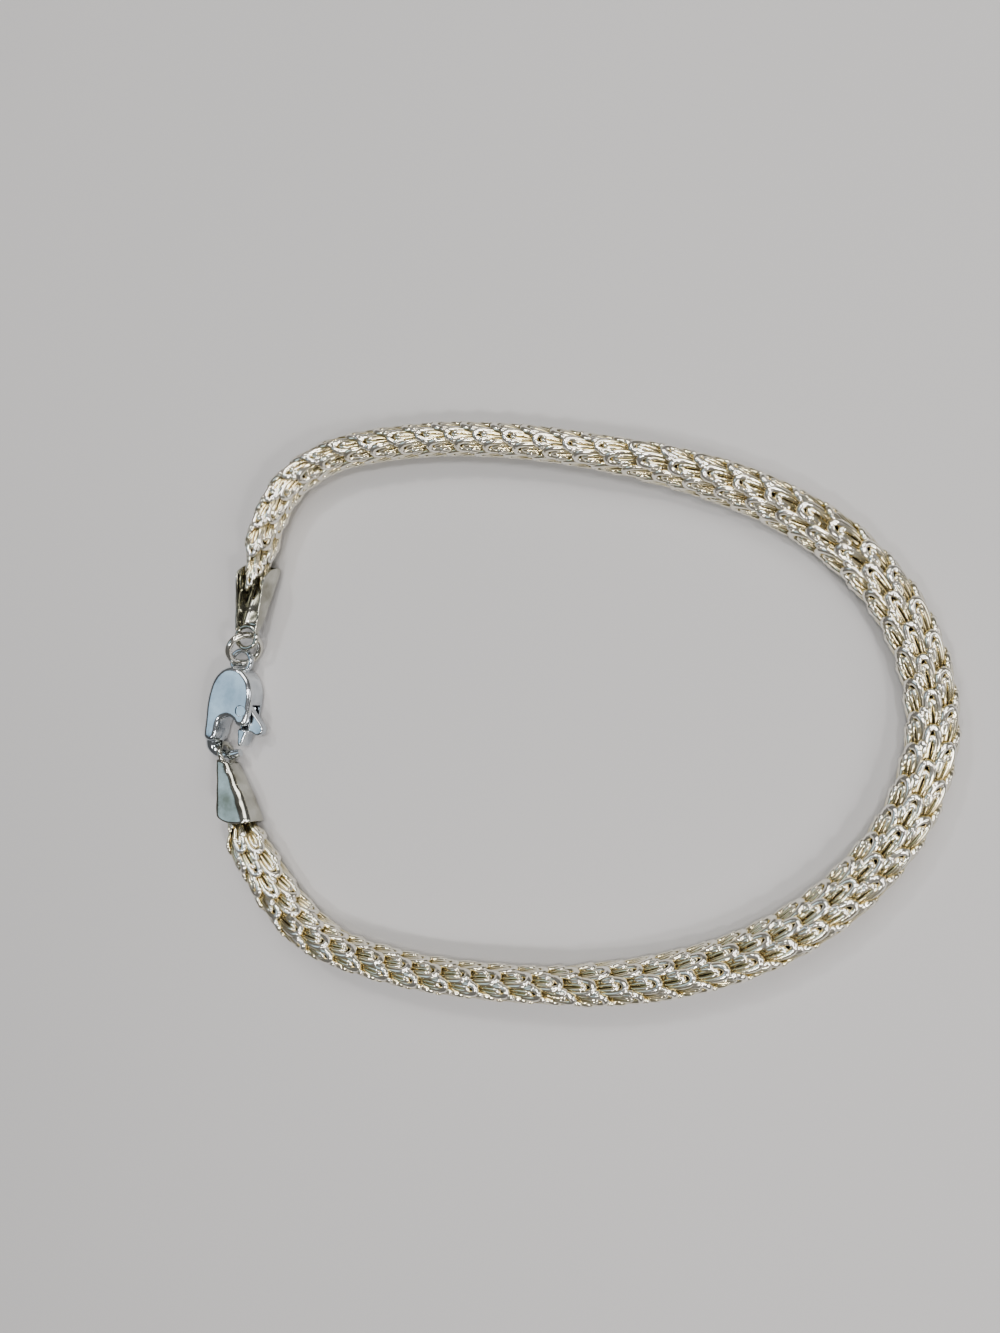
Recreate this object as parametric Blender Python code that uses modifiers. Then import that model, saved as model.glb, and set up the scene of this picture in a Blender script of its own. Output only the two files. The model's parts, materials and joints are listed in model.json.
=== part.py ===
"""Woven chain bracelet lying closed on a surface.

Pieces: the chain, a folded cap with its ring on each chain end, a jump ring,
and a lobster clasp made of body, lever and pin.
Units are metres, +Z is up, and the lowest point of the chain rests at z = 0.
"""

import math

import bmesh
import bpy
from mathutils import Matrix
from mathutils import Vector

MM = 0.001

# Chain
CHAIN_BROAD = 4.85 * MM
CHAIN_NARROW = 3.6 * MM
CHAIN_REPEATS = 58
RINGS_PER_REPEAT = 4
SECTION_POINTS = 14
SCALLOP = 0.07
# Share of the full section at the mouth of a cap, and at the end inside it.
MOUTH_SHARE = 0.72
END_SHARE = 0.57
# Lengths over which the chain narrows before a cap, and settles on the surface after it.
NARROWING = 1.6 * MM
SETTLING = 6.0 * MM

# End caps
CAP_LENGTH = 8.1 * MM
CAP_SHEET = 0.35 * MM
CAP_END_ARC = 1.9 * MM
CAP_START = 0.45 * MM
CAP_START_RAKE = 0.8 * MM
CHAIN_IN_CAP = 3.3 * MM
CAP_RING_RADIUS = 1.2 * MM
CAP_RING_WIRE = 0.28 * MM
CAP_A_RING = Vector((-34.45, 7.2, 2.5)) * MM
CAP_A_TURN = math.radians(79.5)

# Jump ring
JUMP_WIRE = 0.38 * MM
JUMP_RADIUS = 1.72 * MM
JUMP_TILT = math.radians(55.0)

# Clasp
CLASP_EYE = Vector((-35.65, 4.7, 1.5)) * MM
CLASP_TURN = math.radians(-99.5)
CLASP_THICK = 3.0 * MM
CLASP_EDGE = 0.45 * MM
# Ring of cap b round the hook, along and across the clasp, and the turn of that cap from the clasp.
CAP_B_SEAT = Vector((10.35, -0.05, 0.0)) * MM
CAP_B_LEAN = math.radians(25.0)
# How far the chain end of cap b stands above its ring.
CAP_B_RISE = 0.47 * MM
EYE_RADIUS = 1.15 * MM
EYE_WIRE = 0.3 * MM
PIVOT = Vector((5.3, 1.7, 0.0)) * MM
PIN_RADIUS = 0.36 * MM
PIN_HOLE = 0.45 * MM
PIN_HEAD = 0.55 * MM
PIN_HEAD_HEIGHT = 0.16 * MM
PIN_RECESS = 0.3 * MM
PIN_GAP = 0.09 * MM
TONGUE_THICK = 1.0 * MM
SLOT_THICK = 1.6 * MM
LEVER_THICK = 1.9 * MM

# Chosen points of the middle line of the chain in plan, in millimetres, from cap a round to cap b.
ROUTE = (
    (-32.9, 16.2),
    (-31.9, 19.8),
    (-29.6, 23.4),
    (-25.9, 25.7),
    (-21.4, 26.8),
    (-12.8, 27.1),
    (-4.2, 26.2),
    (4.3, 24.4),
    (12.6, 22.0),
    (20.7, 18.5),
    (27.6, 13.4),
    (32.4, 6.4),
    (34.1, -2.2),
    (31.8, -10.5),
    (26.5, -17.4),
    (19.5, -22.4),
    (11.4, -25.5),
    (2.8, -27.1),
    (-5.9, -27.5),
    (-14.5, -27.1),
    (-22.6, -25.55),
    (-27.2, -23.35),
    (-30.5, -20.4),
    (-32.8, -17.3),
    (-34.4, -15.0),
)

# Roll of the chain as (share of its length, angle in degrees): 90 stands on its narrow edge, 0 lies flat.
ROLL = (
    (0.0, 90.0),
    (0.25, 90.0),
    (0.3, 58.0),
    (0.345, 45.0),
    (0.39, 32.0),
    (0.42, 6.0),
    (0.54, 4.0),
    (0.62, 26.0),
    (0.69, 44.0),
    (0.73, 55.0),
    (0.77, 80.0),
    (0.87, 80.0),
    (0.965, 0.0),
    (1.0, 0.0),
)

# Half section of a cap as shares: across its inside half width, and up from its base to its open edge.
CAP_SECTION = (
    (1.0, 1.0),
    (1.0, 0.75),
    (1.0, 0.48),
    (0.99, 0.24),
    (0.88, 0.08),
    (0.6, 0.01),
    (0.0, 0.0),
)

# Cap shape along its length: (share of length, inside half width, base depth, height of the open edge), in mm.
CAP_STATIONS = (
    (0.0, 0.95, 0.6, 0.6),
    (0.3, 1.15, 1.15, 0.85),
    (0.6, 1.3, 1.7, 1.2),
    (0.85, 1.45, 1.98, 1.5),
    (1.0, 1.55, 2.08, 1.6),
)

# Clasp body outline in its own plane, in mm from the eye: along the clasp, then across it.
BODY_OUTLINE = (
    (0.75, -0.6),
    (1.3, -1.55),
    (2.3, -2.25),
    (3.5, -2.58),
    (5.2, -2.7),
    (6.8, -2.58),
    (8.2, -2.52),
    (8.9, -2.3),
    (9.15, -1.65),
    (8.9, -1.05),
    (8.1, -0.82),
    (7.1, -0.76),
    (6.5, -0.45),
    (6.25, 0.2),
    (6.42, 0.85),
    (6.85, 1.25),
    (7.0, 1.75),
    (6.8, 2.35),
    (6.1, 2.6),
    (4.6, 2.7),
    (3.2, 2.6),
    (2.0, 2.15),
    (1.2, 1.4),
    (0.75, 0.6),
)

# Hook of the clasp: along, across, wire radius, in mm.
HOOK = (
    (7.6, -1.65, 0.95),
    (8.8, -1.72, 1.0),
    (9.6, -1.72, 0.84),
    (10.15, -1.3, 0.64),
    (10.4, -0.6, 0.52),
    (10.35, 0.3, 0.5),
    (10.1, 1.1, 0.48),
    (9.85, 1.65, 0.42),
)

# Lever arm outline: along, across, in mm.
ARM_OUTLINE = (
    (7.3, 1.4),
    (8.2, 1.48),
    (8.95, 1.6),
    (9.15, 1.85),
    (8.95, 2.15),
    (8.2, 2.35),
    (7.3, 2.45),
)

# Lever tongue and thumb tab outline: along, across, in mm.
TONGUE_OUTLINE = (
    (4.7, 1.2),
    (5.3, 0.95),
    (6.3, 1.25),
    (7.8, 1.6),
    (7.85, 2.25),
    (7.45, 2.75),
    (7.7, 3.5),
    (7.35, 4.1),
    (6.65, 4.1),
    (5.9, 3.35),
    (5.2, 2.6),
    (4.6, 2.3),
    (4.4, 1.7),
)


def clear_scene():
    for obj in list(bpy.data.objects):
        bpy.data.objects.remove(obj, do_unlink=True)
    for group in list(bpy.data.collections):
        bpy.data.collections.remove(group)


def make_collection(name, hidden):
    group = bpy.data.collections.new(name)
    bpy.context.scene.collection.children.link(group)
    group.hide_render = hidden
    return group


def make_material(name, color, roughness):
    material = bpy.data.materials.new(name)
    material.use_nodes = True
    shader = material.node_tree.nodes["Principled BSDF"]
    shader.inputs["Base Color"].default_value = (*color, 1.0)
    shader.inputs["Metallic"].default_value = 1.0
    shader.inputs["Roughness"].default_value = roughness
    return material


def link_only(obj, group):
    for other in list(obj.users_collection):
        other.objects.unlink(obj)
    group.objects.link(obj)


def shade(obj, smooth):
    for polygon in obj.data.polygons:
        polygon.use_smooth = smooth
    if smooth:
        obj.data.set_sharp_from_angle(angle=math.radians(40.0))


def recalculate(mesh):
    work = bmesh.new()
    work.from_mesh(mesh)
    bmesh.ops.remove_doubles(work, verts=work.verts, dist=0.002 * MM)
    bmesh.ops.recalc_face_normals(work, faces=work.faces)
    work.to_mesh(mesh)
    work.free()


def mesh_from_curve(curve_obj, name, group):
    bpy.context.view_layer.update()
    graph = bpy.context.evaluated_depsgraph_get()
    mesh = bpy.data.meshes.new_from_object(curve_obj.evaluated_get(graph))
    mesh.name = name
    recalculate(mesh)
    obj = bpy.data.objects.new(name, mesh)
    group.objects.link(obj)
    obj.matrix_world = curve_obj.matrix_world.copy()
    bpy.data.objects.remove(curve_obj, do_unlink=True)
    return obj


def combine(target, other, operation, hidden_group):
    modifier = target.modifiers.new(other.name, "BOOLEAN")
    modifier.operation = operation
    modifier.solver = "EXACT"
    modifier.object = other
    link_only(other, hidden_group)
    other.hide_render = True
    other.display_type = "WIRE"


def smooth_path(points, closed, steps):
    """Evenly curved line through the points, steps short lengths to each span."""
    count = len(points)
    spans = count if closed else count - 1
    line = []
    for index in range(spans):
        if closed:
            around = [points[(index + shift) % count] for shift in (-1, 0, 1, 2)]
        else:
            before = points[max(index - 1, 0)]
            after = points[min(index + 2, count - 1)]
            around = [before, points[index], points[index + 1], after]
        a, b, c, d = [Vector(point) for point in around]
        for step in range(steps):
            t = step / steps
            line.append(
                0.5
                * (
                    2 * b
                    + (c - a) * t
                    + (2 * a - 5 * b + 4 * c - d) * t * t
                    + (3 * b - a - 3 * c + d) * t * t * t
                )
            )
    if not closed:
        line.append(Vector(points[-1]))
    return line


def resample(line, count):
    """Points at equal lengths along the line, and the whole length."""
    lengths = [0.0]
    for first, second in zip(line, line[1:]):
        lengths.append(lengths[-1] + (second - first).length)
    total = lengths[-1]
    found = []
    index = 0
    for number in range(count):
        wanted = total * number / (count - 1)
        while index < len(line) - 2 and lengths[index + 1] < wanted:
            index += 1
        share = (wanted - lengths[index]) / (lengths[index + 1] - lengths[index])
        found.append(line[index].lerp(line[index + 1], min(max(share, 0.0), 1.0)))
    return found, total


def table_value(table, share, column=1):
    """Value of the table at this share, eased between its rows."""
    for first, second in zip(table, table[1:]):
        if share <= second[0]:
            t = ease((share - first[0]) / (second[0] - first[0]))
            return first[column] + (second[column] - first[column]) * t
    return table[-1][column]


def half_height(roll):
    """Half height of the oval section when it is rolled by this angle."""
    tall = 0.5 * CHAIN_BROAD * math.sin(roll)
    flat = 0.5 * CHAIN_NARROW * math.cos(roll)
    return math.hypot(tall, flat)


def ease(t):
    t = min(max(t, 0.0), 1.0)
    return t * t * (3 - 2 * t)


def direction(turn, rise=0.0):
    return Vector((math.cos(turn), math.sin(turn), rise)).normalized()


def clasp_frame():
    frame = Matrix.Rotation(CLASP_TURN, 4, "Z")
    frame.translation = CLASP_EYE
    return frame


def cap_axes():
    """Ring centre, and direction from the ring to the chain, of cap a and of cap b."""
    along_a = direction(CAP_A_TURN)
    along_b = direction(CLASP_TURN + CAP_B_LEAN, CAP_B_RISE / CAP_LENGTH)
    return (CAP_A_RING, along_a), (clasp_frame() @ CAP_B_SEAT, along_b)


def chain_line():
    """Points of the chain's middle line, with share of full size and roll at each."""
    axes = cap_axes()
    start, end = [ring + along * (CAP_LENGTH - CHAIN_IN_CAP) for ring, along in axes]
    plan = [Vector((start.x, start.y))]
    plan.extend(Vector(point) * MM for point in ROUTE)
    plan.append(Vector((end.x, end.y)))
    dense = smooth_path(plan, False, 16)
    count = CHAIN_REPEATS * RINGS_PER_REPEAT + 1
    points, total = resample(dense, count)
    rows = []
    for number, point in enumerate(points):
        share = number / (count - 1)
        roll = math.radians(table_value(ROLL, share))
        inside = min(share, 1 - share) * total
        ring, along = axes[0] if share < 0.5 else axes[1]
        if inside < CHAIN_IN_CAP:
            size = END_SHARE + (MOUTH_SHARE - END_SHARE) * inside / CHAIN_IN_CAP
            height = ring.z + along.z * (CAP_LENGTH - CHAIN_IN_CAP + inside)
        else:
            outside = inside - CHAIN_IN_CAP
            size = MOUTH_SHARE + (1.0 - MOUTH_SHARE) * ease(outside / NARROWING)
            mouth = ring.z + along.z * CAP_LENGTH
            height = mouth + (half_height(roll) - mouth) * ease(outside / SETTLING)
        phase = 2 * math.pi * number / RINGS_PER_REPEAT
        size *= 1.0 - SCALLOP * (0.5 + 0.5 * math.cos(phase))
        rows.append((Vector((point.x, point.y, height)), size, roll))
    return rows


def make_chain(group, helpers):
    section = bpy.data.curves.new("chain_section", "CURVE")
    section.dimensions = "2D"
    spline = section.splines.new("POLY")
    spline.points.add(SECTION_POINTS - 1)
    for number, point in enumerate(spline.points):
        angle = 2 * math.pi * (number + 0.5) / SECTION_POINTS
        across = 0.5 * CHAIN_BROAD * math.cos(angle)
        high = 0.5 * CHAIN_NARROW * math.sin(angle)
        point.co = (across, high, 0.0, 1.0)
    spline.use_cyclic_u = True
    section_obj = bpy.data.objects.new("chain_section", section)
    helpers.objects.link(section_obj)
    section_obj.hide_render = True
    curve = bpy.data.curves.new("chain", "CURVE")
    curve.dimensions = "3D"
    curve.twist_mode = "Z_UP"
    curve.bevel_mode = "OBJECT"
    curve.bevel_object = section_obj
    curve.use_fill_caps = True
    rows = chain_line()
    line = curve.splines.new("POLY")
    line.points.add(len(rows) - 1)
    for point, (place, size, roll) in zip(line.points, rows):
        point.co = (*place, 1.0)
        point.radius = size
        point.tilt = roll
    curve_obj = bpy.data.objects.new("chain_line", curve)
    helpers.objects.link(curve_obj)
    chain = mesh_from_curve(curve_obj, "chain", group)
    bpy.data.objects.remove(section_obj, do_unlink=True)
    shade(chain, True)
    return chain


def make_cap(name, ring_place, along, open_way, group, helpers):
    """Folded sheet cap: x runs from its ring to the chain, z to its open side."""
    columns = list(CAP_SECTION) + [(-a, b) for a, b in reversed(CAP_SECTION[:-1])]
    rows = 13
    points = []
    for row in range(rows):
        share = row / (rows - 1)
        half = table_value(CAP_STATIONS, share, 1) * MM
        depth = table_value(CAP_STATIONS, share, 2) * MM
        top = table_value(CAP_STATIONS, share, 3) * MM
        for across, up in columns:
            begin = CAP_START + CAP_START_RAKE * (1 - up) ** 2
            finish = CAP_LENGTH - CAP_END_ARC * (1 - math.sqrt(1 - (0.97 * up) ** 2))
            length = begin + (finish - begin) * share
            points.append((length, across * half, -depth + (depth + top) * up))
    width = len(columns)
    faces = []
    for row in range(rows - 1):
        for column in range(width - 1):
            first = row * width + column
            faces.append((first, first + 1, first + width + 1, first + width))
    mesh = bpy.data.meshes.new(name)
    mesh.from_pydata(points, [], faces)
    cap = bpy.data.objects.new(name, mesh)
    group.objects.link(cap)
    sheet = cap.modifiers.new("sheet", "SOLIDIFY")
    sheet.thickness = CAP_SHEET
    sheet.offset = -1.0
    sheet.use_even_offset = True
    bpy.ops.mesh.primitive_torus_add(
        major_radius=CAP_RING_RADIUS,
        minor_radius=CAP_RING_WIRE,
        major_segments=28,
        minor_segments=10,
    )
    ring = bpy.context.object
    ring.name = name + "_ring"
    side = open_way.cross(along).normalized()
    open_way = along.cross(side)
    frame = Matrix((along, side, open_way)).transposed().to_4x4()
    frame.translation = ring_place
    cap.matrix_world = frame
    ring.matrix_world = frame
    combine(cap, ring, "UNION", helpers)
    shade(cap, True)
    shade(ring, True)
    return cap


def outline_solid(name, outline, thick, edge, steps, group):
    """Flat plate with rounded edges, drawn through the outline in the plane z = 0."""
    curve = bpy.data.curves.new(name, "CURVE")
    curve.dimensions = "2D"
    curve.fill_mode = "BOTH"
    curve.extrude = 0.5 * thick - edge
    curve.bevel_depth = edge
    curve.bevel_resolution = 2
    curve.offset = -edge
    around = smooth_path([Vector(point) * MM for point in outline], True, steps)
    spline = curve.splines.new("POLY")
    spline.points.add(len(around) - 1)
    for point, place in zip(spline.points, around):
        point.co = (place.x, place.y, 0.0, 1.0)
    spline.use_cyclic_u = True
    obj = bpy.data.objects.new(name + "_line", curve)
    group.objects.link(obj)
    return mesh_from_curve(obj, name, group)


def cylinder(name, radius, height, place, group, segments=20):
    bpy.ops.mesh.primitive_cylinder_add(vertices=segments, radius=radius, depth=height)
    obj = bpy.context.object
    obj.name = name
    obj.matrix_world = Matrix.Translation(place)
    link_only(obj, group)
    return obj


def make_hook(group):
    curve = bpy.data.curves.new("hook", "CURVE")
    curve.dimensions = "3D"
    curve.bevel_depth = MM
    curve.bevel_resolution = 3
    curve.use_fill_caps = True
    rows = smooth_path([Vector(point) for point in HOOK], False, 3)
    spline = curve.splines.new("POLY")
    spline.points.add(len(rows) - 1)
    for point, row in zip(spline.points, rows):
        point.co = (row.x * MM, row.y * MM, 0.0, 1.0)
        point.radius = row.z
    obj = bpy.data.objects.new("hook_line", curve)
    group.objects.link(obj)
    return mesh_from_curve(obj, "clasp_hook", group)


def make_clasp(group, helpers):
    body = outline_solid("clasp_body", BODY_OUTLINE, CLASP_THICK, CLASP_EDGE, 3, group)
    hook = make_hook(helpers)
    combine(body, hook, "UNION", helpers)
    bpy.ops.mesh.primitive_torus_add(
        major_radius=EYE_RADIUS,
        minor_radius=EYE_WIRE,
        major_segments=28,
        minor_segments=10,
    )
    eye = bpy.context.object
    eye.name = "clasp_eye"
    combine(body, eye, "UNION", helpers)
    slot = outline_solid("clasp_slot", slot_outline(), SLOT_THICK, 0.05 * MM, 2, helpers)
    combine(body, slot, "DIFFERENCE", helpers)
    hole = cylinder("clasp_hole", PIN_HOLE, 2 * CLASP_THICK, PIVOT, helpers)
    combine(body, hole, "DIFFERENCE", helpers)
    lever = outline_solid("clasp_lever", TONGUE_OUTLINE, TONGUE_THICK, 0.2 * MM, 2, group)
    arm = outline_solid("clasp_arm", ARM_OUTLINE, LEVER_THICK, 0.3 * MM, 3, helpers)
    combine(lever, arm, "UNION", helpers)
    lever_hole = cylinder("lever_hole", PIN_HOLE, 2 * CLASP_THICK, PIVOT, helpers)
    combine(lever, lever_hole, "DIFFERENCE", helpers)
    length = CLASP_THICK - 2 * PIN_GAP - PIN_HEAD_HEIGHT
    pin = cylinder("clasp_pin", PIN_RADIUS, length, PIVOT, group, 16)
    ends = []
    for side in (-1, 1):
        shift = Vector((0.0, 0.0, side * 0.5 * length))
        head = cylinder("pin_head", PIN_HEAD, PIN_HEAD_HEIGHT, PIVOT + shift, helpers)
        combine(pin, head, "UNION", helpers)
        face = Vector((0.0, 0.0, side * 0.5 * CLASP_THICK))
        radius = PIN_HEAD + PIN_GAP
        recess = cylinder("pin_recess", radius, 2 * PIN_RECESS, PIVOT + face, helpers)
        combine(body, recess, "DIFFERENCE", helpers)
        ends.extend((head, recess))
    lever.data.transform(Matrix.Translation(-PIVOT))
    lever.matrix_world = Matrix.Translation(PIVOT)
    frame = clasp_frame()
    for obj in (body, hook, eye, slot, hole, lever, arm, lever_hole, pin, *ends):
        obj.matrix_world = frame @ obj.matrix_world
    for obj in (body, hook, eye, lever, arm, pin):
        shade(obj, True)
    return body, lever, pin


def slot_outline():
    """Room for the tongue of the lever in the body, open to the mouth and to the thumb side."""
    return (
        (4.0, 1.7),
        (4.2, 0.65),
        (5.0, 0.1),
        (6.0, -0.15),
        (7.7, -0.3),
        (9.2, 1.9),
        (8.2, 4.9),
        (5.6, 4.9),
        (4.8, 3.05),
        (4.2, 2.4),
    )


def make_jump_ring(group):
    """Ring through the ring of cap a and the eye of the clasp, leaning over to the right."""
    reach = CLASP_EYE - CAP_A_RING
    middle = (CLASP_EYE + CAP_A_RING) / 2
    along = reach.normalized()
    flat = Vector((0.0, 0.0, 1.0)).cross(along).normalized()
    upright = along.cross(flat)
    across = flat * math.cos(JUMP_TILT) - upright * math.sin(JUMP_TILT)
    normal = along.cross(across)
    bpy.ops.mesh.primitive_torus_add(
        major_radius=JUMP_RADIUS,
        minor_radius=JUMP_WIRE,
        major_segments=32,
        minor_segments=10,
    )
    ring = bpy.context.object
    ring.name = "jump_ring"
    frame = Matrix((along, across, normal)).transposed().to_4x4()
    frame.translation = middle
    ring.matrix_world = frame
    link_only(ring, group)
    shade(ring, True)
    return ring


def centre(objects, helpers):
    """Moves everything so that the middle of the bounding box's base is the origin."""
    bpy.context.view_layer.update()
    graph = bpy.context.evaluated_depsgraph_get()
    low = Vector((math.inf,) * 3)
    high = -low
    for obj in objects:
        evaluated = obj.evaluated_get(graph)
        mesh = evaluated.to_mesh()
        for vertex in mesh.vertices:
            place = evaluated.matrix_world @ vertex.co
            low = Vector(map(min, low, place))
            high = Vector(map(max, high, place))
        evaluated.to_mesh_clear()
    shift = Vector((-(low.x + high.x) / 2, -(low.y + high.y) / 2, -low.z))
    for obj in list(objects) + list(helpers.objects):
        obj.matrix_world = Matrix.Translation(shift) @ obj.matrix_world


def main():
    clear_scene()
    bpy.context.scene.unit_settings.scale_length = 1.0
    group = make_collection("woven_chain_bracelet", False)
    helpers = make_collection("helpers", True)
    up = Vector((0.0, 0.0, 1.0))
    chain = make_chain(group, helpers)
    (ring_a, along_a), (ring_b, along_b) = cap_axes()
    cap_a = make_cap("end_cap_a", ring_a, along_a, up, group, helpers)
    outward = along_b.cross(up).normalized()
    cap_b = make_cap("end_cap_b", ring_b, along_b, outward, group, helpers)
    jump_ring = make_jump_ring(group)
    body, lever, pin = make_clasp(group, helpers)
    pieces = (chain, cap_a, cap_b, jump_ring, body, lever, pin)
    silver = (0.9, 0.89, 0.87)
    for piece, roughness in zip(pieces, (0.22, 0.12, 0.12, 0.14, 0.1, 0.1, 0.18)):
        material = make_material(piece.name + "_silver", silver, roughness)
        piece.data.materials.append(material)
    centre(pieces, helpers)


main()
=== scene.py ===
"""Looks of the woven silver chain bracelet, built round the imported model.

The chain becomes a weave of wire loops, and caps, ring and clasp are drawn finer.
Units are metres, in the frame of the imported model.
"""

import json
import math

import bmesh
import bpy
import numpy as np
from mathutils import Matrix
from mathutils import Vector

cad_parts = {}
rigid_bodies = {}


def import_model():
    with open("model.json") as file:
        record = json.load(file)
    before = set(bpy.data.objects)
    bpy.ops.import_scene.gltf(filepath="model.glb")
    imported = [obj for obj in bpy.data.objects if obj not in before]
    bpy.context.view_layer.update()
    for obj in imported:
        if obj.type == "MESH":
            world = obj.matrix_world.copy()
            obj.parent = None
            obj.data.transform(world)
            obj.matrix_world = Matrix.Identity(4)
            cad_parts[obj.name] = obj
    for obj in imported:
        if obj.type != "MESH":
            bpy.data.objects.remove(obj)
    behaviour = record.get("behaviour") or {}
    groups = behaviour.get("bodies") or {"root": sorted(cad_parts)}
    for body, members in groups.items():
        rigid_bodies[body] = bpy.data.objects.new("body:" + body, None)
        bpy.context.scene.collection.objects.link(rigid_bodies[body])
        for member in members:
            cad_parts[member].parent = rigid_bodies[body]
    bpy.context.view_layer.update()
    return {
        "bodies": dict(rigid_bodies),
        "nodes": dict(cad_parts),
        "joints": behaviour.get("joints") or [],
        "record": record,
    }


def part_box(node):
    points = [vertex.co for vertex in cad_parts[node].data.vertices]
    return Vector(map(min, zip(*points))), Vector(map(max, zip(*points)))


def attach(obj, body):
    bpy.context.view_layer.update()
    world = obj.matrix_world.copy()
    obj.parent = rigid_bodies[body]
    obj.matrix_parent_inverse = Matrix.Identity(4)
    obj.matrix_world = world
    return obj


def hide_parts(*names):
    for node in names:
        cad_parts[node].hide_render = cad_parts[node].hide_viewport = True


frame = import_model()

MM = 0.001

# Chain: broad and narrow width of its oval, repeats of the weave, and rings in each repeat.
CHAIN_BROAD = 4.85 * MM
CHAIN_NARROW = 3.6 * MM
CHAIN_REPEATS = 58
RINGS_PER_REPEAT = 8
# Share of the full section at the mouth of a cap, and at the end inside it.
MOUTH_SHARE = 0.72
END_SHARE = 0.57
# Lengths over which the chain narrows before a cap, and settles on the surface after it.
NARROWING = 1.6 * MM
SETTLING = 6.0 * MM

# End caps
CAP_LENGTH = 8.1 * MM
CAP_SHEET = 0.35 * MM
CAP_END_ARC = 1.9 * MM
CAP_START = 0.45 * MM
CAP_START_RAKE = 0.8 * MM
# Share of a quarter turn that the end arc of a cap runs through.
CAP_END_TURN = 0.97
CAP_ROWS = 13
CHAIN_IN_CAP = 3.3 * MM
CAP_RING_RADIUS = 1.2 * MM
CAP_RING_WIRE = 0.28 * MM
CAP_A_RING = Vector((-34.45, 7.2, 2.5)) * MM
CAP_A_TURN = math.radians(79.5)

# Jump ring
JUMP_WIRE = 0.38 * MM
JUMP_RADIUS = 1.72 * MM
JUMP_TILT = math.radians(55.0)

# Clasp
CLASP_EYE = Vector((-35.65, 4.7, 1.5)) * MM
CLASP_TURN = math.radians(-99.5)
CLASP_THICK = 3.0 * MM
# A little rounder than in the CAD, for the bright line along the rim.
CLASP_EDGE = 0.55 * MM
# Ring of cap b round the hook, along and across the clasp, and the turn of that cap from it.
CAP_B_SEAT = Vector((10.35, -0.05, 0.0)) * MM
CAP_B_LEAN = math.radians(25.0)
# How far the chain end of cap b stands above its ring.
CAP_B_RISE = 0.47 * MM
EYE_RADIUS = 1.15 * MM
EYE_WIRE = 0.3 * MM
PIVOT = Vector((5.3, 1.7, 0.0)) * MM
PIN_RADIUS = 0.36 * MM
PIN_HOLE = 0.45 * MM
PIN_HEAD = 0.55 * MM
PIN_HEAD_HEIGHT = 0.16 * MM
PIN_RECESS = 0.3 * MM
PIN_GAP = 0.09 * MM
TONGUE_THICK = 1.0 * MM
SLOT_THICK = 1.6 * MM
LEVER_THICK = 1.9 * MM
# Rounding of the edges of the slot, the tongue and the arm.
SLOT_EDGE = 0.05 * MM
TONGUE_EDGE = 0.2 * MM
ARM_EDGE = 0.3 * MM

# Facets round a small ring, round the jump ring, round their wire, and round pins and holes.
RING_STEPS = 72
JUMP_STEPS = 96
WIRE_SIDES = 24
HOLE_SIDES = 56
PIN_SIDES = 48
# Facets of a rounded edge and of the hook's wire.
EDGE_STEPS = 6
HOOK_STEPS = 8
# Short lengths from one chosen point to the next: the chain's route, the hook's line, and the
# outlines of body, slot, tongue and arm.
ROUTE_SPAN = 16
HOOK_SPAN = 8
BODY_SPAN = 8
SLOT_SPAN = 6
TONGUE_SPAN = 7
ARM_SPAN = 8
# Levels of smoothing on the sheet of a cap.
CAP_SMOOTHING = 2
# Faces that meet at more than this angle keep a sharp edge.
SHARP_ANGLE = math.radians(40.0)
# Points closer than this are joined.
WELD = 0.002 * MM

# Chosen points of the chain's middle line in plan, in mm, from cap a round to cap b.
ROUTE = (
    (-32.9, 16.2),
    (-31.9, 19.8),
    (-29.6, 23.4),
    (-25.9, 25.7),
    (-21.4, 26.8),
    (-12.8, 27.1),
    (-4.2, 26.2),
    (4.3, 24.4),
    (12.6, 22.0),
    (20.7, 18.5),
    (27.6, 13.4),
    (32.4, 6.4),
    (34.1, -2.2),
    (31.8, -10.5),
    (26.5, -17.4),
    (19.5, -22.4),
    (11.4, -25.5),
    (2.8, -27.1),
    (-5.9, -27.5),
    (-14.5, -27.1),
    (-22.6, -25.55),
    (-27.2, -23.35),
    (-30.5, -20.4),
    (-32.8, -17.3),
    (-34.4, -15.0),
)

# Roll of the chain: share of its length, and degrees. 90 stands on its narrow edge, 0 lies flat.
ROLL = (
    (0.0, 90.0),
    (0.25, 90.0),
    (0.3, 58.0),
    (0.345, 45.0),
    (0.39, 32.0),
    (0.42, 6.0),
    (0.54, 4.0),
    (0.62, 26.0),
    (0.69, 44.0),
    (0.73, 55.0),
    (0.77, 80.0),
    (0.87, 80.0),
    (0.965, 0.0),
    (1.0, 0.0),
)

# Half section of a cap: shares of its inside half width, and of its height up to the open edge.
CAP_SECTION = (
    (1.0, 1.0),
    (1.0, 0.75),
    (1.0, 0.48),
    (0.99, 0.24),
    (0.88, 0.08),
    (0.6, 0.01),
    (0.0, 0.0),
)

# Cap along its length: share of it, then inside half width, depth of the base and height of the
# open edge, in mm.
CAP_STATIONS = (
    (0.0, 0.95, 0.6, 0.6),
    (0.3, 1.15, 1.15, 0.85),
    (0.6, 1.3, 1.7, 1.2),
    (0.85, 1.45, 1.98, 1.5),
    (1.0, 1.55, 2.08, 1.6),
)

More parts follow.
